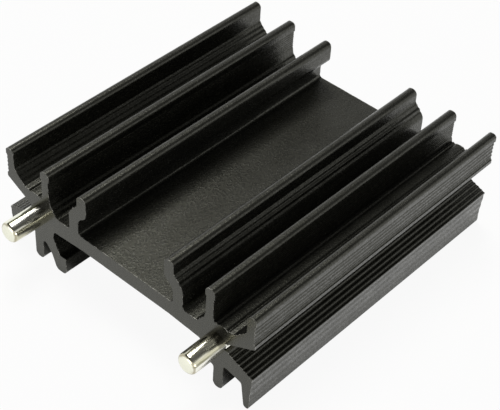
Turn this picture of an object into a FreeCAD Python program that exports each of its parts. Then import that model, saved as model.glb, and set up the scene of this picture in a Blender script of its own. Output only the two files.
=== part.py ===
import FreeCAD, Part
import math
import os
from FreeCAD import Vector

# Extruded aluminium heat sink for a power transistor, with two solder pins.
# X runs across the section, Y along the extrusion and Z up.
# The origin is on the cut end that the pins stand out of, midway between them
# and on the line of their axes, which is the middle of the web's thickness.
# The section is the same on both sides of X = 0, and its right half is given here.
# All sizes are in millimetres, and heights are counted from the pin axes.

# Overall sizes of the extrusion
OVERALL_WIDTH = 34.9
OVERALL_LENGTH = 38.1
RISE_ABOVE_PINS = 6.3
DROP_BELOW_PINS = 6.4

# Solder pins, each with a knurled shank that its channel grips, and the channels,
# which open into the side channels
PIN_SPACING = 25.4
PIN_DIAMETER = 2.36
PIN_PROJECTION = 4.4
PIN_GRIPPED_LENGTH = 9.0
KNURL_RIDGES = 20
KNURL_DEPTH = 0.08
PIN_TIP_ROUND = 0.45
CHANNEL_MOUTH = 1.0

# Web that the device is fixed to
WEB_THICKNESS = 1.85
WEB_ROOT_DROP = 0.30
WEB_TAPER_LENGTH = 4.4

# Inner upper fin, with a head that leans over the device bay
DEVICE_BAY_HALF_WIDTH = 6.74
INNER_FIN_THICKNESS = 1.30
HEAD_LEAN = 1.23
HEAD_THICKNESS = 1.28
HEAD_CORNER = 3.83
HEAD_SLOPE_DROP = 0.62
HEAD_BEND_DROP = 1.25
SHOULDER_TOP = 4.80
SHOULDER_DROP = 0.57
SHOULDER_BEND_INSET = 0.55
SHOULDER_BEND_DROP = 1.50
SHOULDER_RIDGE_WIDTH = 0.52
SHOULDER_RIDGE_DEPTH = 0.12

# Middle upper fin, straight, with a thicker head
MIDDLE_FIN_INSET = 1.72
MIDDLE_FIN_THICKNESS = 1.22
HEAD_DEPTH = 1.10
HEAD_STEP = 0.09

# Floor between the inner and middle upper fins, rising to the hub
BOWL_REACH = 2.80
BOWL_RIM = 2.30
BOWL_RIDGE_PITCH = 0.50
BOWL_RIDGE_DEPTH = 0.12

# Outer upper fin and the sloping arm that carries it
OUTER_FIN_THICKNESS = 1.10
ARM_FLOOR = 2.45
ARM_ELBOW_X = 2.65
ARM_RISE = 1.50
ARM_SHOULDER = 2.38
ARM_ROOT = 0.62
FLOOR_GROOVE_DEPTH = 0.26
FLOOR_GROOVE_WIDTH = 0.34
FLOOR_GROOVE_INSET = 0.64
ROOT_RIDGE_REACH = 0.66
ROOT_RIDGE_TUCK = 0.24
ROOT_RIDGE_PITCH = 0.45
ROOT_RIDGE_DEPTH = 0.20
ARM_RIDGES_INSET = 0.25
ARM_RIDGE_PITCH = 0.57
ARM_RIDGE_DEPTH = 0.08
SMOOTH_BAND = 0.52
OUTER_HEAD_DEPTH = 0.88
OUTER_RIDGE_PITCH = 0.50
OUTER_RIDGE_DEPTH = 0.12

# Hub round the pin channel
HUB_INNER_REACH = 2.15
HUB_WAIST_REACH = 1.95
HUB_WAIST_DROP = 0.95
HUB_OUTER_REACH = 1.42

# Outer lower fin, hung from a sloping arm
SLOPE_ROOT = -0.55
SLOPE_END = -1.85
LOWER_ARM_UNDERSIDE = -2.90
LOWER_ARM_CORNER = -3.35
LOWER_FIN_ROOT_THICKNESS = 1.40
LOWER_FIN_TIP_THICKNESS = 0.66
LOWER_FIN_DRAFT = 0.28

# Middle lower fin, straight
MIDDLE_FOOT_INSET = 0.30
MIDDLE_FOOT_THICKNESS = 1.25

# Inner lower fin, curved, with a thick foot
FOOT_INNER_X = 8.92
FOOT_TOP = -4.13
FOOT_HEEL_WIDTH = 1.45
FOOT_NECK_WIDTH = 0.92
THROAT = -2.92
THROAT_SLOPE = 0.70

# Rounding of the section's corners
TIP_ROUND = 0.56
EDGE_ROUND = 0.16
ROOT_ROUND = 0.38
BEND_ROUND = 1.6
GENTLE_TURN = 58.0
STRAIGHT_TURN = 1.0
ROUND_SHARE = 0.47

# Fine lengthwise ridges
RIDGE_PITCH = 0.30
RIDGE_DEPTH = 0.085
SLOPE_RIDGE_PITCH = 0.54
SLOPE_RIDGE_DEPTH = 0.13
FACE_RIDGE_PITCH = 1.04
FACE_RIDGED_HEIGHT = 3.12
FACE_RIDGE_DEPTH = 0.08

HALF_WIDTH = OVERALL_WIDTH / 2
PIN_X = PIN_SPACING / 2
PIN_RADIUS = PIN_DIAMETER / 2
TOP = RISE_ABOVE_PINS
BOTTOM = -DROP_BELOW_PINS
WEB_TOP = WEB_THICKNESS / 2
WEB_UNDERSIDE = -WEB_THICKNESS / 2
HUB_INNER_X = PIN_X - HUB_INNER_REACH
HUB_OUTER_X = PIN_X + HUB_OUTER_REACH
MIDDLE_FIN_X = PIN_X - MIDDLE_FIN_INSET
MIDDLE_FIN_FAR_X = MIDDLE_FIN_X + MIDDLE_FIN_THICKNESS
MIDDLE_FOOT_X = PIN_X - MIDDLE_FOOT_INSET
MIDDLE_FOOT_FAR_X = MIDDLE_FOOT_X + MIDDLE_FOOT_THICKNESS
RIDGE_TOP = TOP - HEAD_DEPTH


def face_of(points):
    """A flat face in the plane of the cut end, from corners given as (x, z)."""
    corners = [Vector(x, 0, z) for x, z in points]
    face = Part.Face(Part.makePolygon(corners + corners[:1]))
    if face.normalAt(0, 0).y < 0:
        face.reverse()
    return face


def ridged(start, end, pitch, depth):
    """The corners of a ridged side from start to end, with its valleys to the left."""
    run_x, run_z = end[0] - start[0], end[1] - start[1]
    length = math.hypot(run_x, run_z)
    count = max(1, int(round(length / pitch)))
    left_x, left_z = -run_z / length, run_x / length
    corners = []
    for step in range(count):
        ridge, valley = step / count, (step + 0.5) / count
        corners.append((start[0] + run_x * ridge, start[1] + run_z * ridge))
        corners.append((start[0] + run_x * valley + left_x * depth,
                        start[1] + run_z * valley + left_z * depth))
    corners.append(end)
    return corners


def towards(start, end, distance):
    """The point at a distance from start on the way to end."""
    run_x, run_z = end[0] - start[0], end[1] - start[1]
    share = distance / math.hypot(run_x, run_z)
    return (start[0] + run_x * share, start[1] + run_z * share)


def web():
    """The flat plate between the hubs, a little thicker towards them."""
    return [(0, WEB_UNDERSIDE), (HUB_INNER_X - WEB_TAPER_LENGTH, WEB_UNDERSIDE),
            (HUB_INNER_X, WEB_UNDERSIDE - WEB_ROOT_DROP), (PIN_X, WEB_UNDERSIDE - WEB_ROOT_DROP),
            (PIN_X, WEB_TOP), (0, WEB_TOP)]


def inner_fin():
    """The fin beside the device, whose head leans in over it, with two ridges on its shoulder."""
    near = DEVICE_BAY_HALF_WIDTH
    far = near + INNER_FIN_THICKNESS
    head_near = near - HEAD_LEAN
    head_far = head_near + HEAD_THICKNESS
    bend = HEAD_LEAN / 4
    shoulder_foot = (far, SHOULDER_TOP - SHOULDER_BEND_DROP)
    shoulder_bend = (far - SHOULDER_BEND_INSET, SHOULDER_TOP - SHOULDER_DROP)
    shoulder_top = (head_far, SHOULDER_TOP)
    below = towards(shoulder_bend, shoulder_foot, SHOULDER_RIDGE_WIDTH)
    above = towards(shoulder_bend, shoulder_top, SHOULDER_RIDGE_WIDTH)
    ridges = ridged(below, shoulder_bend, SHOULDER_RIDGE_WIDTH, SHOULDER_RIDGE_DEPTH)[:-1] + ridged(
        shoulder_bend, above, SHOULDER_RIDGE_WIDTH, SHOULDER_RIDGE_DEPTH)
    return [(near, WEB_UNDERSIDE), (far, WEB_UNDERSIDE), shoulder_foot] + ridges + [
            shoulder_top, (head_far, TOP), (head_near, TOP), (head_near, HEAD_CORNER),
            (near - bend, HEAD_CORNER - HEAD_SLOPE_DROP), (near, HEAD_CORNER - HEAD_BEND_DROP)]


def middle_fin():
    """The straight fin over the hub, with a smooth head and ridged sides below it."""
    near, far = MIDDLE_FIN_X, MIDDLE_FIN_FAR_X
    low = ARM_FLOOR + ROOT_ROUND
    outer_side = ridged((far - HEAD_STEP, low), (far - HEAD_STEP, RIDGE_TOP), RIDGE_PITCH, RIDGE_DEPTH)
    inner_side = ridged((near + HEAD_STEP, RIDGE_TOP), (near + HEAD_STEP, low), RIDGE_PITCH, RIDGE_DEPTH)
    return [(near, 0), (far, 0), (far, ARM_FLOOR)] + outer_side + [
        (far, RIDGE_TOP), (far, TOP), (near, TOP), (near, RIDGE_TOP)] + inner_side + [(near, BOWL_RIM)]


def floor_grooves():
    """The grooves in the floor beside the middle fin: one before the arm and two at the fin's root."""
    groove_x = HALF_WIDTH - ARM_ELBOW_X - FLOOR_GROOVE_INSET
    before_arm = [(groove_x, ARM_FLOOR), (groove_x - FLOOR_GROOVE_WIDTH / 2, ARM_FLOOR - FLOOR_GROOVE_DEPTH),
                  (groove_x - FLOOR_GROOVE_WIDTH, ARM_FLOOR)]
    root = ridged((MIDDLE_FIN_FAR_X + ROOT_RIDGE_REACH, ARM_FLOOR),
                  (MIDDLE_FIN_FAR_X - ROOT_RIDGE_TUCK, ARM_FLOOR), ROOT_RIDGE_PITCH, ROOT_RIDGE_DEPTH)
    return [before_arm] + [root[first:first + 3] for first in range(0, len(root) - 2, 2)]


def outer_fin():
    """The outer upper fin with its arm and grooved floor, ridged on the outside."""
    near = HALF_WIDTH - OUTER_FIN_THICKNESS
    elbow = (HALF_WIDTH - ARM_ELBOW_X, ARM_FLOOR)
    arm_end = (near, ARM_FLOOR + ARM_RISE)
    arm_ridges = ridged(towards(arm_end, elbow, ARM_RIDGES_INSET), towards(elbow, arm_end, ARM_RIDGES_INSET),
                        ARM_RIDGE_PITCH, ARM_RIDGE_DEPTH)
    ridged_x = HALF_WIDTH - HEAD_STEP
    ridged_top = TOP - OUTER_HEAD_DEPTH
    outer_side = ridged((ridged_x, ARM_SHOULDER + SMOOTH_BAND), (ridged_x, ridged_top),
                        OUTER_RIDGE_PITCH, OUTER_RIDGE_DEPTH)
    plain = [(PIN_X, 0), (HUB_OUTER_X, 0), (HUB_OUTER_X, ARM_ROOT), (HALF_WIDTH, ARM_SHOULDER),
             (HALF_WIDTH, ARM_SHOULDER + SMOOTH_BAND)] + outer_side + [
             (HALF_WIDTH, ridged_top), (HALF_WIDTH, TOP), (near, TOP), arm_end] + arm_ridges + [
             elbow, (MIDDLE_FIN_FAR_X, ARM_FLOOR), (MIDDLE_FIN_FAR_X, 0)]
    grooved = face_of(plain).cut([face_of(groove) for groove in floor_grooves()])
    return [(v.X, v.Z) for v in grooved.Faces[0].OuterWire.OrderedVertexes]


def hub():
    """The thick part round the pin channel, with the ridged slope up to the middle fin."""
    waist_x = PIN_X - HUB_WAIST_REACH
    root = WEB_UNDERSIDE - WEB_ROOT_DROP
    bowl = ridged((MIDDLE_FIN_X, BOWL_RIM), (PIN_X - BOWL_REACH, WEB_TOP), BOWL_RIDGE_PITCH,
                  BOWL_RIDGE_DEPTH)
    return [(PIN_X - BOWL_REACH, 0), (HUB_INNER_X, root), (waist_x, root - HUB_WAIST_DROP),
            (waist_x, THROAT), (MIDDLE_FOOT_FAR_X, THROAT), (MIDDLE_FOOT_FAR_X, LOWER_ARM_UNDERSIDE),
            (HUB_OUTER_X, LOWER_ARM_UNDERSIDE), (HUB_OUTER_X, ARM_ROOT), (PIN_X, ARM_FLOOR / 2),
            (MIDDLE_FIN_X + MIDDLE_FIN_THICKNESS / 2, BOWL_RIM)] + bowl


def lower_outer_fin():
    """The sloping lower arm, ridged on top, and the fin that hangs from it."""
    corner_x = HALF_WIDTH - LOWER_FIN_ROOT_THICKNESS
    tip_far = HALF_WIDTH - LOWER_FIN_DRAFT
    tip_near = tip_far - LOWER_FIN_TIP_THICKNESS
    outer_top = (HALF_WIDTH, SLOPE_END)
    face_foot = (tip_far, BOTTOM + 2 * TIP_ROUND)
    slope = ridged(outer_top, (HUB_OUTER_X, SLOPE_ROOT), SLOPE_RIDGE_PITCH, SLOPE_RIDGE_DEPTH)
    outer_side = [face_foot] + ridged(towards(outer_top, face_foot, FACE_RIDGED_HEIGHT), outer_top,
                                      FACE_RIDGE_PITCH, FACE_RIDGE_DEPTH)
    return [(PIN_X, SLOPE_ROOT), (PIN_X, LOWER_ARM_UNDERSIDE), (HUB_OUTER_X, LOWER_ARM_UNDERSIDE),
            (corner_x, LOWER_ARM_CORNER), (tip_near, BOTTOM), (tip_far, BOTTOM)] + outer_side[:-1] + slope


def middle_foot():
    """The straight middle foot under the hub."""
    return [(MIDDLE_FOOT_X, LOWER_ARM_UNDERSIDE), (MIDDLE_FOOT_X, BOTTOM),
            (MIDDLE_FOOT_FAR_X, BOTTOM), (MIDDLE_FOOT_FAR_X, LOWER_ARM_UNDERSIDE)]


def inner_foot():
    """The curved inner foot, necked above its thick toe."""
    waist_x = PIN_X - HUB_WAIST_REACH
    heel_x = FOOT_INNER_X + FOOT_HEEL_WIDTH
    middle = (THROAT + BOTTOM) / 2
    return [(waist_x, THROAT + THROAT_SLOPE), (FOOT_INNER_X + FOOT_NECK_WIDTH, FOOT_TOP),
            (FOOT_INNER_X, FOOT_TOP), (FOOT_INNER_X, BOTTOM), (heel_x, BOTTOM),
            (heel_x + THROAT_SLOPE, middle), (MIDDLE_FOOT_X, THROAT), (PIN_X, THROAT + THROAT_SLOPE)]


def rounded_wire(points):
    """A closed wire through the corners, each rounded as far as its two sides allow."""
    before = points[-1:] + points[:-1]
    after = points[1:] + points[:1]
    winding = sum(here.cross(there).y for here, there in zip(points, after))
    stops = []
    for previous, corner, following in zip(before, points, after):
        arriving, leaving = corner - previous, following - corner
        turn = math.degrees(arriving.getAngle(leaving))
        if turn < STRAIGHT_TURN:
            stops.append((corner,))
            continue
        wanted = EDGE_ROUND if arriving.cross(leaving).y * winding > 0 else ROOT_ROUND
        if turn < GENTLE_TURN:
            wanted = BEND_ROUND
        elif min(TOP - corner.z, corner.z - BOTTOM) < EDGE_ROUND:
            wanted = TIP_ROUND
        half = math.radians(turn / 2)
        reach = min(wanted * math.tan(half), ROUND_SHARE * min(arriving.Length, leaving.Length))
        radius = reach / math.tan(half)
        arriving.normalize()
        leaving.normalize()
        inward = (leaving - arriving).normalize()
        middle = corner + inward * (radius / math.cos(half) - radius)
        stops.append((corner - arriving * reach, middle, corner + leaving * reach))
    edges = []
    for here, there in zip(stops, stops[1:] + stops[:1]):
        if len(here) == 3:
            edges.append(Part.Arc(*here).toShape())
        if here[-1].distanceToPoint(there[0]) > 1e-6:
            edges.append(Part.LineSegment(here[-1], there[0]).toShape())
    return Part.Wire(edges)


def section_face():
    """The whole section: both halves joined, then rounded."""
    shapes = [web(), inner_fin(), middle_fin(), outer_fin(), hub(),
              lower_outer_fin(), middle_foot(), inner_foot()]
    faces = []
    for points in shapes:
        faces.append(face_of(points))
        faces.append(face_of([(-x, z) for x, z in points]))
    joined = faces[0].multiFuse(faces[1:]).removeSplitter()
    outline = joined.Faces[0].OuterWire
    return Part.Face(rounded_wire([v.Point for v in outline.OrderedVertexes]))


def pin_channel(side):
    """The round channel for one pin, open along its outer side."""
    bore = Part.makeCylinder(PIN_RADIUS, OVERALL_LENGTH, Vector(0, 0, 0), Vector(0, 1, 0))
    reach = HUB_OUTER_REACH + EDGE_ROUND
    mouth = Part.makeBox(reach, OVERALL_LENGTH, CHANNEL_MOUTH, Vector(0, 0, -CHANNEL_MOUTH / 2))
    if side < 0:
        mouth.translate(Vector(-reach, 0, 0))
    channel = bore.fuse(mouth)
    channel.translate(Vector(side * PIN_X, 0, 0))
    return channel


def extrusion():
    """The finished extrusion."""
    body = section_face().extrude(Vector(0, OVERALL_LENGTH, 0))
    return body.cut([pin_channel(-1), pin_channel(1)])


def knurled_shank():
    """The gripped length of a pin, with ridges along it that reach the channel's wall."""
    corners = []
    for step in range(2 * KNURL_RIDGES):
        radius = PIN_RADIUS - KNURL_DEPTH * (step % 2)
        turn = math.pi * step / KNURL_RIDGES
        corners.append((radius * math.cos(turn), radius * math.sin(turn)))
    return face_of(corners).extrude(Vector(0, PIN_GRIPPED_LENGTH, 0))


def solder_pin(side):
    """One round pin with a domed rim at its tip, gripped in the end of its channel."""
    flat_radius = PIN_RADIUS - PIN_TIP_ROUND
    tip_centre = Vector(0, -PIN_PROJECTION, 0)
    rim = Vector(flat_radius, -PIN_PROJECTION, 0)
    dome = Vector(flat_radius + PIN_TIP_ROUND * math.sin(math.pi / 4),
                  PIN_TIP_ROUND * (1 - math.cos(math.pi / 4)) - PIN_PROJECTION, 0)
    shoulder = Vector(PIN_RADIUS, PIN_TIP_ROUND - PIN_PROJECTION, 0)
    end_rim = Vector(PIN_RADIUS, 0, 0)
    end_centre = Vector(0, 0, 0)
    profile = Part.Wire([Part.makeLine(tip_centre, rim), Part.Arc(rim, dome, shoulder).toShape(),
                         Part.makeLine(shoulder, end_rim), Part.makeLine(end_rim, end_centre),
                         Part.makeLine(end_centre, tip_centre)])
    free_end = Part.Face(profile).revolve(Vector(0, 0, 0), Vector(0, 1, 0), 360)
    pin = free_end.fuse(knurled_shank())
    pin.translate(Vector(side * PIN_X, 0, 0))
    return pin


def main():
    """Write each piece to its own file."""
    os.makedirs("parts", exist_ok=True)
    pieces = {"extrusion": extrusion(), "solder_pin_left": solder_pin(-1),
              "solder_pin_right": solder_pin(1)}
    for name, shape in pieces.items():
        shape.exportStep("parts/" + name + ".step")
        print(name, len(shape.Solids), shape.isValid(), round(shape.Volume, 2), shape.BoundBox)


main()
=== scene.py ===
import math
import bmesh
import bpy
from mathutils import Matrix
from mathutils import Vector
from mathutils import noise


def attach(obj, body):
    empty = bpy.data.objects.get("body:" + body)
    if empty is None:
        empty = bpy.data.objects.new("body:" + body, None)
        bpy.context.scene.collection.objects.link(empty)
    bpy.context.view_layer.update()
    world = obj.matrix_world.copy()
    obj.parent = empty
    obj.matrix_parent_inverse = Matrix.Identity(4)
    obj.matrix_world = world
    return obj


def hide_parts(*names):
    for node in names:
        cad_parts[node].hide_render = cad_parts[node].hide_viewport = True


# Extruded heat sink with two solder pins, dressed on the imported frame.
# Everything is in metres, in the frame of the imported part: X across the section,
# Y along the extrusion from the pin end, Z up, with the pins' axes at Z = 0.

MM = 0.001
SAME_PLACE = 1e-7

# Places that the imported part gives, repeated here for the marks on its surface
SECTION_LENGTH = 38.1 * MM
HALF_WIDTH = 17.45 * MM
FEET_LEVEL = -6.4 * MM
PIN_AXIS_X = 12.7 * MM
PIN_RADIUS = 1.18 * MM
KNURL_RIDGES = 20
KNURL_DEPTH = 0.08 * MM
PIN_TIP = -4.4 * MM
PIN_INNER_END = 9.0 * MM

# The pins' free ends: a slight crown with one knee in it, and a round rim
PIN_TIP_ROUND = 0.45 * MM
PIN_CROWN = 0.07 * MM
CROWN_KNEE = 0.5
TIP_ROUND_STEPS = 6
PIN_SIDES = 72

# How far two faces turn before the edge between them stays crisp
SECTION_CREASE = math.radians(40)
PIN_CREASE = math.radians(32)
SAME_PLANE = math.radians(0.4)

# Cut ends: how far the sawing moved the edges, and how often they change
RIM_DEPTH = 0.22 * MM
RIM_STEP = 0.30 * MM
RIM_TURN = 0.5
RIM_WANDER = 0.022 * MM
RIM_WANDER_SIZE = 0.45 * MM
RIM_SEED = 7

# Noise for the marks: its stretch along X, Y and Z, its size and its detail
LINES_NOISE = ((1.0, 0.012, 1.0), 0.10 * MM, 2.0)
GRAIN_NOISE = ((1.0, 0.75, 1.0), 0.20 * MM, 3.0)
PATCH_NOISE = ((1.0, 0.6, 1.0), 2.0 * MM, 2.0)
RAGGED_NOISE = ((1.0, 1.0, 1.0), 0.5 * MM, 2.0)
SAW_NOISE = ((1.0, 1.0, 0.05), 0.16 * MM, 2.0)
WOBBLE_NOISE = ((1.0, 0.25, 1.0), 0.45 * MM, 2.0)
STREAK_NOISE = ((1.0, 0.08, 1.0), 0.16 * MM, 3.0)

# The span of each noise that goes from no mark to a full one
LINES_SPAN = (0.3, 0.7)
GRAIN_SPAN = (0.36, 0.64)
PATCH_SPAN = (0.35, 0.65)
SAW_SPAN = (0.3, 0.7)
STREAK_SPAN = (0.35, 0.65)
BURR_SPAN = (0.42, 0.62)

# Marks of the saw: the turn of a face towards Y that counts as cut, and the burr along the edge
CUT_FACING = (0.8, 0.95)
BURR_STARTS = 0.10 * MM
BURR_FULL = 0.01 * MM
BURR_LEAST = 0.15

# Black anodised skin: each pair is for no mark and for a full one
SKIN_COLOURS = ((0.0020, 0.0020, 0.0017, 1.0), (0.0045, 0.0045, 0.0039, 1.0))
CLOUD_COLOURS = ((0.008, 0.008, 0.0069, 1.0), (0.016, 0.016, 0.0136, 1.0))
SAWN_COLOURS = ((0.009, 0.009, 0.0075, 1.0), (0.022, 0.0215, 0.018, 1.0))
BURR_COLOUR = (0.50, 0.49, 0.45, 1.0)
COAT_BY_GRAIN = (0.11, 0.37)
COAT_BY_PATCH = (0.7, 1.1)
ROUGHNESS_BY_GRAIN = (0.34, 0.26)
SAWN_SMOOTHER = 0.05
LINES_HEIGHT = 0.4
HEIGHT_BY_CUT = (1.0, 0.25)
SKIN_IOR = 1.50
SKIN_TINT = (1.0, 1.0, 0.80, 1.0)
COAT_IOR = 1.5
COAT_ROUGHNESS = 0.25

# How strongly the marks raise each surface, and how deep they are
SKIN_BUMP = 0.5
TIN_BUMP = 0.4
MARK_DEPTH = 0.012 * MM

# Painted shade, with a painted reflection of the black extrusion, on the upper side of each pin just
# outside the cut end
ROOT_SHADE_STARTS = -0.95 * MM
ROOT_SHADE_FULL = -0.60 * MM
ROOT_SHADE_HEIGHT = 0.7 * PIN_RADIUS
ROOT_SHADE_COLOUR = (0.13, 0.115, 0.085, 1.0)
ROOT_SHADE_SHARE = 0.8
LEFT_PIN_LESS_SHADE = 0.65

# The duller cropped tip of each pin, and the painted shade of the crease behind it
TIP_EDGE = (PIN_TIP + 0.14 * MM, PIN_TIP + 0.24 * MM)
CREASE_EDGE = (PIN_TIP + 0.30 * MM, PIN_TIP + 0.42 * MM)
TIP_WANDER = 0.12 * MM
TIP_COLOUR = (0.87, 0.87, 0.74, 1.0)
CREASE_SHADE_COLOUR = (0.40, 0.36, 0.25, 1.0)
CREASE_SHADE_SHARE = 0.75

# Tin on the pins, with reflections painted into its colour: how far the left one is turned round from
# the right one, how much the bands wander, and the colour at each share of the way round
LEFT_PIN_TURN = math.radians(107)
BAND_WOBBLE = 0.25
BAND_START = math.radians(-35)
TIN_AND_REFLECTION_STOPS = [
    (0.00, (0.56, 0.54, 0.41, 1.0)),
    (0.07, (0.62, 0.60, 0.47, 1.0)),
    (0.10, (0.97, 0.96, 0.88, 1.0)),
    (0.15, (0.96, 0.95, 0.86, 1.0)),
    (0.165, (0.26, 0.25, 0.16, 1.0)),
    (0.185, (0.30, 0.29, 0.20, 1.0)),
    (0.20, (0.60, 0.58, 0.42, 1.0)),
    (0.24, (0.66, 0.64, 0.49, 1.0)),
    (0.255, (0.98, 0.96, 0.78, 1.0)),
    (0.30, (0.97, 0.95, 0.76, 1.0)),
    (0.315, (0.74, 0.72, 0.55, 1.0)),
    (0.36, (0.68, 0.66, 0.50, 1.0)),
    (0.375, (0.60, 0.58, 0.43, 1.0)),
    (0.50, (0.52, 0.50, 0.36, 1.0)),
    (0.53, (0.76, 0.75, 0.66, 1.0)),
    (0.57, (0.60, 0.59, 0.47, 1.0)),
    (0.585, (0.98, 0.97, 0.90, 1.0)),
    (0.65, (0.97, 0.96, 0.84, 1.0)),
    (0.665, (0.28, 0.28, 0.17, 1.0)),
    (0.69, (0.34, 0.34, 0.22, 1.0)),
    (0.705, (0.92, 0.93, 0.80, 1.0)),
    (0.79, (0.84, 0.85, 0.70, 1.0)),
    (0.84, (0.58, 0.56, 0.43, 1.0)),
    (1.00, (0.50, 0.48, 0.35, 1.0)),
]
GLINT_COLOUR = (0.90, 0.89, 0.82, 1.0)
GLINT_SHARE = 0.35
ROUGHNESS_BY_STREAK = (0.24, 0.14)
TIP_ROUGHER = 0.25

# Camera at the photograph's angle
PHOTO_WIDTH = 500
FILM_WIDTH = 36.0
FOCAL_PIXELS = 1440.18
CAMERA_AZIMUTH = 39.930
CAMERA_ELEVATION = 42.260
CAMERA_ROLL = 3.587
CAMERA_PLACE = (74.34 * MM, -69.98 * MM, 102.59 * MM)
CLIP_START = 0.005
CLIP_END = 10.0

# Studio: the paper, the walls and ceiling that are seen, and the lamps, each with its name,
# place, width, height and power
FLOOR_SIZE = 1.6
FLOOR_COLOUR = (0.93, 0.93, 0.925, 1.0)
PAPER_GLOW = 0.93
PAPER_DARK_EDGE = (-2.0 * MM, 1.0 * MM)
STUDIO_GREY = 0.05
CEILING_STARTS = 0.40
CEILING_FULL = 0.62
CEILING_GREY = (0.09, 0.09, 0.09, 1.0)
WHITE = (1.0, 1.0, 1.0, 1.0)
LAMP_COLOUR = (1.0, 0.995, 0.98)
LAMPS = [
    ("overhead_lamp", (-0.165, 0.12, 0.55), 0.20, 0.36, 2.5),
    ("right_lamp", (0.50, -0.10, 0.03), 0.4, 0.05, 0.85),
    ("front_lamp", (0.00, -0.50, 0.05), 0.25, 0.10, 0.6),
]

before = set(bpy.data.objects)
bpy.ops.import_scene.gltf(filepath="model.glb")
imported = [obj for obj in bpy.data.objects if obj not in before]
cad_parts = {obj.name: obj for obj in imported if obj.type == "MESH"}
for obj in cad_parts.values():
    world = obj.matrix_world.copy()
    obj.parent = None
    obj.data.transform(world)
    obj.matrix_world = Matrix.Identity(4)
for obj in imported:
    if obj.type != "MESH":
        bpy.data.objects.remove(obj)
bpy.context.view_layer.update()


def new_material(name):
    """An empty node material, with its output."""
    material = bpy.data.materials.new(name)
    material.use_nodes = True
    material.node_tree.nodes.clear()
    output = material.node_tree.nodes.new("ShaderNodeOutputMaterial")
    return material, material.node_tree, output


def new_effect(name, inputs, outputs):
    """A node group for materials. Its inputs are vectors and its outputs are plain values."""
    group = bpy.data.node_groups.new(name, "ShaderNodeTree")
    for label in inputs:
        group.interface.new_socket(name=label, in_out="INPUT", socket_type="NodeSocketVector")
    for label in outputs:
        group.interface.new_socket(name=label, in_out="OUTPUT", socket_type="NodeSocketFloat")
    entry = group.nodes.new("NodeGroupInput")
    leaving = group.nodes.new("NodeGroupOutput")
    return group, entry, leaving


def use_effect(tree, group):
    """The shared effect as one node of a material."""
    node = tree.nodes.new("ShaderNodeGroup")
    node.node_tree = group
    return node


def split(tree, vector):
    """The parts of a vector, as outputs named X, Y and Z."""
    node = tree.nodes.new("ShaderNodeSeparateXYZ")
    tree.links.new(vector, node.inputs["Vector"])
    return node.outputs


def noise_along(tree, source, stretch, size, detail):
    """Noise whose grains are size metres wide, stretched along the axes by the given shares."""
    mapping = tree.nodes.new("ShaderNodeMapping")
    mapping.inputs["Scale"].default_value = stretch
    tree.links.new(source, mapping.inputs["Vector"])
    texture = tree.nodes.new("ShaderNodeTexNoise")
    texture.inputs["Scale"].default_value = 1.0 / size
    texture.inputs["Detail"].default_value = detail
    tree.links.new(mapping.outputs["Vector"], texture.inputs["Vector"])
    return texture.outputs["Fac"]


def ranged(tree, value, low, high, out_low=0.0, out_high=1.0):
    """The value taken from low..high to out_low..out_high, with smooth ends."""
    node = tree.nodes.new("ShaderNodeMapRange")
    node.interpolation_type = "SMOOTHSTEP"
    node.inputs["From Min"].default_value = low
    node.inputs["From Max"].default_value = high
    node.inputs["To Min"].default_value = out_low
    node.inputs["To Max"].default_value = out_high
    tree.links.new(value, node.inputs["Value"])
    return node.outputs["Result"]


def combined(tree, operation, first, second):
    """Two values put together. Either may be a plain number."""
    node = tree.nodes.new("ShaderNodeMath")
    node.operation = operation
    for place, value in enumerate((first, second)):
        if isinstance(value, (int, float)):
            node.inputs[place].default_value = value
        else:
            tree.links.new(value, node.inputs[place])
    return node.outputs["Value"]


def mixed(tree, factor, first, second):
    """A colour between two colours, each a link or four numbers."""
    node = tree.nodes.new("ShaderNodeMix")
    node.data_type = "RGBA"
    tree.links.new(factor, node.inputs["Factor"])
    for label, colour in (("A", first), ("B", second)):
        socket = [s for s in node.inputs if s.name == label and s.type == "RGBA"][0]
        if isinstance(colour, tuple):
            socket.default_value = colour
        else:
            tree.links.new(colour, socket)
    return [s for s in node.outputs if s.type == "RGBA"][0]


def raised(tree, height, strength):
    """The normal of a surface that is raised by the height."""
    bump = tree.nodes.new("ShaderNodeBump")
    bump.inputs["Strength"].default_value = strength
    bump.inputs["Distance"].default_value = MARK_DEPTH
    tree.links.new(height, bump.inputs["Height"])
    return bump.outputs["Normal"]


def seen_directly(tree):
    """One for what the camera, gloss or glass sees, and nought for the light itself."""
    path = tree.nodes.new("ShaderNodeLightPath")
    direct = combined(tree, "MAXIMUM", path.outputs["Is Camera Ray"], path.outputs["Is Glossy Ray"])
    return combined(tree, "MAXIMUM", direct, path.outputs["Is Transmission Ray"])


def draw_marks_effect():
    """Lines left by the die along the extrusion, and the grain and patches of the finish."""
    group, entry, leaving = new_effect("draw_marks", ["Vector"], ["Lines", "Grain", "Patches"])
    place = entry.outputs["Vector"]
    lines = noise_along(group, place, *LINES_NOISE)
    grain = noise_along(group, place, *GRAIN_NOISE)
    patches = noise_along(group, place, *PATCH_NOISE)
    group.links.new(ranged(group, lines, *LINES_SPAN), leaving.inputs["Lines"])
    group.links.new(ranged(group, grain, *GRAIN_SPAN), leaving.inputs["Grain"])
    group.links.new(ranged(group, patches, *PATCH_SPAN), leaving.inputs["Patches"])
    return group


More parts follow.
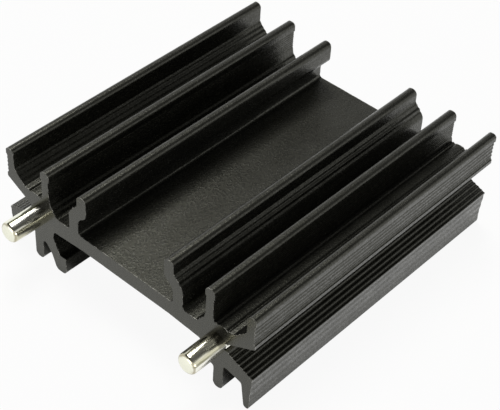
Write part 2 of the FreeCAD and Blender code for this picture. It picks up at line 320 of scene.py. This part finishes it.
def cut_end_effect():
    """Where the saw cut: the end faces, the streaks on them, and the burr along their edges."""
    group, entry, leaving = new_effect("cut_end", ["Vector", "Normal"], ["Face", "Streaks", "Burr"])
    place = entry.outputs["Vector"]
    facing = combined(group, "ABSOLUTE", split(group, entry.outputs["Normal"])["Y"], 0.0)
    face = ranged(group, facing, *CUT_FACING)
    middle = SECTION_LENGTH / 2
    off_middle = combined(group, "SUBTRACT", split(group, place)["Y"], middle)
    reach = combined(group, "ABSOLUTE", off_middle, 0.0)
    close = ranged(group, reach, middle - BURR_STARTS, middle - BURR_FULL)
    broken = ranged(group, noise_along(group, place, *RAGGED_NOISE), *BURR_SPAN, BURR_LEAST)
    edge = combined(group, "MULTIPLY", close, broken)
    off_face = combined(group, "SUBTRACT", 1.0, face)
    group.links.new(combined(group, "MULTIPLY", edge, off_face), leaving.inputs["Burr"])
    streaks = noise_along(group, place, *SAW_NOISE)
    group.links.new(ranged(group, streaks, *SAW_SPAN), leaving.inputs["Streaks"])
    group.links.new(face, leaving.inputs["Face"])
    return group


def tin_and_reflection_bands_effect():
    """Bands round a pin, partly tin and partly painted reflection, fine streaks, how far along a place
    is, and the painted shade at the root.
    """
    group, entry, leaving = new_effect("tin_and_reflection_bands", ["Vector"], ["Turn", "Streaks", "Along", "RootShade"])
    place = entry.outputs["Vector"]
    where = split(group, place)
    side = combined(group, "SIGN", where["X"], 0.0)
    axis = combined(group, "MULTIPLY", side, PIN_AXIS_X)
    turn = combined(group, "ARCTAN2", where["Z"], combined(group, "SUBTRACT", where["X"], axis))
    left = combined(group, "LESS_THAN", where["X"], 0.0)
    turned = combined(group, "ADD", turn, combined(group, "MULTIPLY", left, LEFT_PIN_TURN))
    wobble = combined(group, "MULTIPLY", noise_along(group, place, *WOBBLE_NOISE), BAND_WOBBLE)
    wobbled = combined(group, "ADD", turned, wobble)
    share = combined(group, "DIVIDE", combined(group, "SUBTRACT", wobbled, BAND_START), math.tau)
    group.links.new(combined(group, "FRACT", share, 0.0), leaving.inputs["Turn"])
    group.links.new(noise_along(group, place, *STREAK_NOISE), leaving.inputs["Streaks"])
    ragged = combined(group, "MULTIPLY", noise_along(group, place, *RAGGED_NOISE), TIP_WANDER)
    along = combined(group, "ADD", where["Y"], ragged)
    group.links.new(along, leaving.inputs["Along"])
    # Painted shade and a painted reflection of the black extrusion, on the upper side of each pin by its
    # root
    root = ranged(group, along, ROOT_SHADE_STARTS, ROOT_SHADE_FULL)
    upper = ranged(group, where["Z"], 0.0, ROOT_SHADE_HEIGHT)
    shade_kept = combined(group, "SUBTRACT", 1.0, combined(group, "MULTIPLY", left, LEFT_PIN_LESS_SHADE))
    root_shade = combined(group, "MULTIPLY", combined(group, "MULTIPLY", root, upper), shade_kept)
    group.links.new(root_shade, leaving.inputs["RootShade"])
    return group


DRAW_MARKS = draw_marks_effect()
CUT_END = cut_end_effect()
TIN_AND_REFLECTION_BANDS = tin_and_reflection_bands_effect()


def black_anodised():
    """Black anodised aluminium: mottled under a thin gloss, which the sawn ends don't have."""
    material, tree, output = new_material("black_anodised_aluminium")
    place = tree.nodes.new("ShaderNodeTexCoord").outputs["Object"]
    facing = tree.nodes.new("ShaderNodeNewGeometry").outputs["True Normal"]
    marks = use_effect(tree, DRAW_MARKS)
    tree.links.new(place, marks.inputs["Vector"])
    ends = use_effect(tree, CUT_END)
    tree.links.new(place, ends.inputs["Vector"])
    tree.links.new(facing, ends.inputs["Normal"])
    lines = marks.outputs["Lines"]
    grain = marks.outputs["Grain"]
    patches = marks.outputs["Patches"]
    face = ends.outputs["Face"]

    skin = mixed(tree, lines, *SKIN_COLOURS)
    clouded = mixed(tree, patches, *CLOUD_COLOURS)
    speckled = mixed(tree, grain, skin, clouded)
    sawn = mixed(tree, ends.outputs["Streaks"], *SAWN_COLOURS)
    body = mixed(tree, face, speckled, sawn)
    colour = mixed(tree, ends.outputs["Burr"], body, BURR_COLOUR)

    sheen = ranged(tree, grain, 0.0, 1.0, *COAT_BY_GRAIN)
    cloud = ranged(tree, patches, 0.0, 1.0, *COAT_BY_PATCH)
    uncut = combined(tree, "SUBTRACT", 1.0, face)
    gloss = combined(tree, "MULTIPLY", combined(tree, "MULTIPLY", sheen, cloud), uncut)

    satin = ranged(tree, grain, 0.0, 1.0, *ROUGHNESS_BY_GRAIN)
    roughness = combined(tree, "SUBTRACT", satin, combined(tree, "MULTIPLY", face, SAWN_SMOOTHER))

    worked = combined(tree, "ADD", combined(tree, "MULTIPLY", lines, LINES_HEIGHT), grain)
    drawn = ranged(tree, face, 0.0, 1.0, *HEIGHT_BY_CUT)
    height = combined(tree, "MULTIPLY", worked, drawn)

    shader = tree.nodes.new("ShaderNodeBsdfPrincipled")
    shader.inputs["IOR"].default_value = SKIN_IOR
    shader.inputs["Specular Tint"].default_value = SKIN_TINT
    shader.inputs["Coat IOR"].default_value = COAT_IOR
    shader.inputs["Coat Roughness"].default_value = COAT_ROUGHNESS
    tree.links.new(gloss, shader.inputs["Coat Weight"])
    tree.links.new(colour, shader.inputs["Base Color"])
    tree.links.new(roughness, shader.inputs["Roughness"])
    tree.links.new(raised(tree, height, SKIN_BUMP), shader.inputs["Normal"])
    tree.links.new(shader.outputs["BSDF"], output.inputs["Surface"])
    return material


def tin_and_reflection_ramp(tree, turn):
    """The colour round a pin, in bright, olive and dark bands: partly the tin's uneven coat, partly
    painted highlights and painted reflections.
    """
    ramp = tree.nodes.new("ShaderNodeValToRGB")
    tree.links.new(turn, ramp.inputs["Fac"])
    stops = ramp.color_ramp.elements
    stops[0].position = TIN_AND_REFLECTION_STOPS[0][0]
    stops[0].color = TIN_AND_REFLECTION_STOPS[0][1]
    stops[1].position = TIN_AND_REFLECTION_STOPS[-1][0]
    stops[1].color = TIN_AND_REFLECTION_STOPS[-1][1]
    for position, colour in TIN_AND_REFLECTION_STOPS[1:-1]:
        stop = stops.new(position)
        stop.color = colour
    return ramp.outputs["Color"]


def tinned_pin():
    """Bright tin over a drawn pin, banded along its length with painted reflections, painted shade at
    its root, and a duller tip with painted shade in the crease behind it.
    """
    material, tree, output = new_material("tinned_pin")
    place = tree.nodes.new("ShaderNodeTexCoord").outputs["Object"]
    bands = use_effect(tree, TIN_AND_REFLECTION_BANDS)
    tree.links.new(place, bands.inputs["Vector"])
    streaks = ranged(tree, bands.outputs["Streaks"], *STREAK_SPAN)
    tip = ranged(tree, bands.outputs["Along"], *TIP_EDGE, 1.0, 0.0)
    near = ranged(tree, bands.outputs["Along"], *CREASE_EDGE, 1.0, 0.0)
    crease = combined(tree, "SUBTRACT", near, tip)

    # Bands round the pin: partly the tin's uneven coat, partly painted highlights and painted
    # reflections
    tin_and_reflections = tin_and_reflection_ramp(tree, bands.outputs["Turn"])
    drawn = mixed(tree, streaks, tin_and_reflections, GLINT_COLOUR)
    banded = mixed(tree, combined(tree, "MULTIPLY", streaks, GLINT_SHARE), tin_and_reflections, drawn)
    # Painted shade and a painted reflection of the black extrusion at the pin's root
    root_shade = combined(tree, "MULTIPLY", bands.outputs["RootShade"], ROOT_SHADE_SHARE)
    root_shaded = mixed(tree, root_shade, banded, ROOT_SHADE_COLOUR)
    # A darker band at the crease behind the tip: painted shade
    creased = mixed(tree, combined(tree, "MULTIPLY", crease, CREASE_SHADE_SHARE), root_shaded, CREASE_SHADE_COLOUR)
    colour = mixed(tree, tip, creased, TIP_COLOUR)

    polish = ranged(tree, streaks, 0.0, 1.0, *ROUGHNESS_BY_STREAK)
    roughness = combined(tree, "ADD", polish, combined(tree, "MULTIPLY", tip, TIP_ROUGHER))

    shader = tree.nodes.new("ShaderNodeBsdfPrincipled")
    shader.inputs["Metallic"].default_value = 1.0
    tree.links.new(colour, shader.inputs["Base Color"])
    tree.links.new(roughness, shader.inputs["Roughness"])
    tree.links.new(raised(tree, bands.outputs["Streaks"], TIN_BUMP), shader.inputs["Normal"])
    tree.links.new(shader.outputs["BSDF"], output.inputs["Surface"])
    return material


def beside_object(tree):
    """Nought on the paper under the object, which stays in the dark, and one beside it."""
    where = split(tree, tree.nodes.new("ShaderNodeTexCoord").outputs["Object"])
    along = combined(tree, "SUBTRACT", where["Y"], SECTION_LENGTH / 2)
    across = combined(tree, "ABSOLUTE", where["X"], 0.0)
    past_side = combined(tree, "SUBTRACT", across, HALF_WIDTH)
    past_end = combined(tree, "SUBTRACT", combined(tree, "ABSOLUTE", along, 0.0), SECTION_LENGTH / 2)
    return ranged(tree, combined(tree, "MAXIMUM", past_side, past_end), *PAPER_DARK_EDGE)


def floor_paper():
    """Matt paper that the camera and gloss see as white. Under the object, gloss sees it unlit."""
    material, tree, output = new_material("white_paper")
    paper = tree.nodes.new("ShaderNodeBsdfDiffuse")
    paper.inputs["Color"].default_value = FLOOR_COLOUR
    glow = tree.nodes.new("ShaderNodeEmission")
    glow.inputs["Color"].default_value = WHITE
    glow.inputs["Strength"].default_value = 1.0
    choice = tree.nodes.new("ShaderNodeMixShader")
    path = tree.nodes.new("ShaderNodeLightPath")
    clear = combined(tree, "MAXIMUM", path.outputs["Is Camera Ray"], beside_object(tree))
    seen = combined(tree, "MULTIPLY", seen_directly(tree), clear)
    tree.links.new(combined(tree, "MULTIPLY", seen, PAPER_GLOW), choice.inputs["Fac"])
    tree.links.new(paper.outputs["BSDF"], choice.inputs[1])
    tree.links.new(glow.outputs["Emission"], choice.inputs[2])
    tree.links.new(choice.outputs["Shader"], output.inputs["Surface"])
    return material


ANODISED = black_anodised()
TINNED = tinned_pin()


def finished(name, mesh, material, node):
    """Makes a finished mesh the piece that stands for its CAD node."""
    piece = bpy.data.objects.new(name, mesh)
    bpy.context.collection.objects.link(piece)
    mesh.materials.append(material)
    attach(piece, "root")
    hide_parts(node)


def soften(bm, sharp_angle):
    """Smooth shading, with edges that turn further than sharp_angle kept crisp."""
    for face in bm.faces:
        face.smooth = True
    for edge in bm.edges:
        edge.smooth = len(edge.link_faces) == 2 and edge.calc_face_angle(0.0) < sharp_angle


def wander(point, seed):
    """A small sideways step of a sawn edge, the same each time for the same place."""
    at = Vector((point.x + seed, 0.0, point.z)) / RIM_WANDER_SIZE
    return noise.noise_vector(at) * RIM_WANDER


def saw_rim(bm, level, inward):
    """Roughens the edge round one cut end."""
    cut = level + inward * RIM_DEPTH
    geometry = bm.verts[:] + bm.edges[:] + bm.faces[:]
    bmesh.ops.bisect_plane(bm, geom=geometry, dist=SAME_PLACE, plane_co=(0, cut, 0), plane_no=(0, 1, 0))
    on_end = [e for e in bm.edges if all(abs(v.co.y - level) < SAME_PLACE for v in e.verts)]
    rim = [e for e in on_end if len(e.link_faces) == 2 and e.calc_face_angle(0.0) > RIM_TURN]
    for edge in rim:
        pieces = int(edge.calc_length() / RIM_STEP)
        if pieces > 0:
            bmesh.ops.subdivide_edges(bm, edges=[edge], cuts=pieces)
    for vert in bm.verts:
        if abs(vert.co.y - level) < SAME_PLACE:
            step = wander(vert.co, level)
            vert.co.x += step.x
            vert.co.z += step.z


def drawn_section():
    """The extrusion, from its CAD mesh, with sawn edges round both ends."""
    bm = bmesh.new()
    bm.from_mesh(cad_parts["extrusion"].data)
    bmesh.ops.remove_doubles(bm, verts=bm.verts[:], dist=SAME_PLACE)
    bmesh.ops.dissolve_limit(bm, angle_limit=SAME_PLANE, verts=bm.verts[:], edges=bm.edges[:])
    saw_rim(bm, 0.0, 1)
    saw_rim(bm, SECTION_LENGTH, -1)
    soften(bm, SECTION_CREASE)
    mesh = bpy.data.meshes.new("drawn_section")
    bm.to_mesh(mesh)
    bm.free()
    finished("drawn_section", mesh, ANODISED, "extrusion")


def pin_outline():
    """Half of the pin's outline, as (radius, place along the pin), from the tip inwards."""
    flat = PIN_RADIUS - PIN_TIP_ROUND
    knee = (flat * CROWN_KNEE, PIN_TIP + PIN_CROWN * CROWN_KNEE ** 2)
    outline = [(0.0, PIN_TIP), knee, (flat, PIN_TIP + PIN_CROWN)]
    for step in range(1, TIP_ROUND_STEPS + 1):
        turn = math.radians(90 * step / TIP_ROUND_STEPS)
        outline.append((flat + PIN_TIP_ROUND * math.sin(turn),
                        PIN_TIP + PIN_CROWN + (PIN_TIP_ROUND - PIN_CROWN) * (1 - math.cos(turn))))
    outline.append((PIN_RADIUS, 0.0))
    outline.append((0.0, 0.0))
    return outline


def knurled_shank(bm, side):
    """The gripped length of the pin: a ridged rod drawn out of a ring of corners."""
    place = Matrix.Translation((side * PIN_AXIS_X, 0, 0)) @ Matrix.Rotation(math.radians(90), 4, "X")
    ring = bmesh.ops.create_circle(bm, cap_ends=True, radius=PIN_RADIUS, segments=2 * KNURL_RIDGES,
                                   matrix=place)["verts"]
    valleys = ring[1::2]
    middle = Matrix.Translation((-side * PIN_AXIS_X, 0, 0))
    share = 1 - KNURL_DEPTH / PIN_RADIUS
    bmesh.ops.scale(bm, vec=(share, 1, share), space=middle, verts=valleys)
    cap = [face for face in bm.faces if all(vert in ring for vert in face.verts)]
    drawn = bmesh.ops.extrude_face_region(bm, geom=cap, use_keep_orig=True)["geom"]
    far = [item for item in drawn if isinstance(item, bmesh.types.BMVert)]
    bmesh.ops.translate(bm, verts=far, vec=(0, PIN_INNER_END, 0))


def solder_pin(name, side, node):
    """One round solder pin, spun from its outline."""
    bm = bmesh.new()
    corners = [bm.verts.new((side * PIN_AXIS_X + radius, along, 0.0)) for radius, along in pin_outline()]
    edges = [bm.edges.new(pair) for pair in zip(corners, corners[1:])]
    bmesh.ops.spin(bm, geom=corners + edges, cent=(side * PIN_AXIS_X, 0, 0), axis=(0, 1, 0),
                   angle=math.tau, steps=PIN_SIDES, use_merge=True)
    bmesh.ops.remove_doubles(bm, verts=bm.verts[:], dist=SAME_PLACE)
    knurled_shank(bm, side)
    bmesh.ops.recalc_face_normals(bm, faces=bm.faces[:])
    soften(bm, PIN_CREASE)
    mesh = bpy.data.meshes.new(name)
    bm.to_mesh(mesh)
    bm.free()
    finished(name, mesh, TINNED, node)


def paper_floor():
    """The floor that the feet stand on. It isn't part of the object."""
    bm = bmesh.new()
    bmesh.ops.create_grid(bm, x_segments=1, y_segments=1, size=FLOOR_SIZE / 2)
    bmesh.ops.translate(bm, verts=bm.verts[:], vec=(0, SECTION_LENGTH / 2, FEET_LEVEL))
    mesh = bpy.data.meshes.new("paper_floor")
    bm.to_mesh(mesh)
    bm.free()
    floor = bpy.data.objects.new("paper_floor", mesh)
    bpy.context.collection.objects.link(floor)
    mesh.materials.append(floor_paper())


def soft_lamp(name, place, width, height, power):
    """A rectangular studio lamp that points at the middle of the object."""
    lamp = bpy.data.lights.new(name, "AREA")
    lamp.shape = "RECTANGLE"
    lamp.size = width
    lamp.size_y = height
    lamp.energy = power
    lamp.color = LAMP_COLOUR
    holder = bpy.data.objects.new(name, lamp)
    bpy.context.collection.objects.link(holder)
    direction = Vector((0, SECTION_LENGTH / 2, 0)) - Vector(place)
    turn = direction.to_track_quat("-Z", "Y").to_matrix().to_4x4()
    holder.matrix_world = Matrix.Translation(place) @ turn


def studio():
    """White walls under a dark ceiling for the camera and for gloss, and soft lamps for the light."""
    world = bpy.data.worlds.new("studio")
    world.use_nodes = True
    bpy.context.scene.world = world
    tree = world.node_tree
    tree.nodes.clear()
    output = tree.nodes.new("ShaderNodeOutputWorld")
    seen = tree.nodes.new("ShaderNodeBackground")
    rise = split(tree, tree.nodes.new("ShaderNodeTexCoord").outputs["Generated"])["Z"]
    ceiling = ranged(tree, rise, CEILING_STARTS, CEILING_FULL)
    tree.links.new(mixed(tree, ceiling, WHITE, CEILING_GREY), seen.inputs["Color"])
    seen.inputs["Strength"].default_value = 1.0
    lighting = tree.nodes.new("ShaderNodeBackground")
    lighting.inputs["Color"].default_value = WHITE
    lighting.inputs["Strength"].default_value = STUDIO_GREY
    choice = tree.nodes.new("ShaderNodeMixShader")
    tree.links.new(seen_directly(tree), choice.inputs["Fac"])
    tree.links.new(lighting.outputs["Background"], choice.inputs[1])
    tree.links.new(seen.outputs["Background"], choice.inputs[2])
    tree.links.new(choice.outputs["Shader"], output.inputs["Surface"])
    for name, place, width, height, power in LAMPS:
        soft_lamp(name, place, width, height, power)


def photo_camera():
    """The camera, where the photograph was taken from."""
    camera = bpy.data.cameras.new("photo_camera")
    camera.sensor_width = FILM_WIDTH
    camera.sensor_fit = "HORIZONTAL"
    camera.lens = FOCAL_PIXELS / PHOTO_WIDTH * FILM_WIDTH
    camera.clip_start = CLIP_START
    camera.clip_end = CLIP_END
    holder = bpy.data.objects.new("photo_camera", camera)
    bpy.context.collection.objects.link(holder)
    azimuth = math.radians(CAMERA_AZIMUTH)
    elevation = math.radians(CAMERA_ELEVATION)
    roll = math.radians(CAMERA_ROLL)
    back = Vector((math.sin(azimuth) * math.cos(elevation), -math.cos(azimuth) * math.cos(elevation),
                   math.sin(elevation)))
    level = Vector((math.cos(azimuth), math.sin(azimuth), 0.0))
    upright = back.cross(level)
    right = level * math.cos(roll) + upright * math.sin(roll)
    up = upright * math.cos(roll) - level * math.sin(roll)
    turn = Matrix((right, up, back)).transposed().to_4x4()
    holder.matrix_world = Matrix.Translation(CAMERA_PLACE) @ turn
    bpy.context.scene.camera = holder


bpy.context.scene.view_settings.view_transform = "Standard"
noise.seed_set(RIM_SEED)
drawn_section()
solder_pin("left_solder_pin", -1, "solder_pin_left")
solder_pin("right_solder_pin", 1, "solder_pin_right")
paper_floor()
studio()
photo_camera()
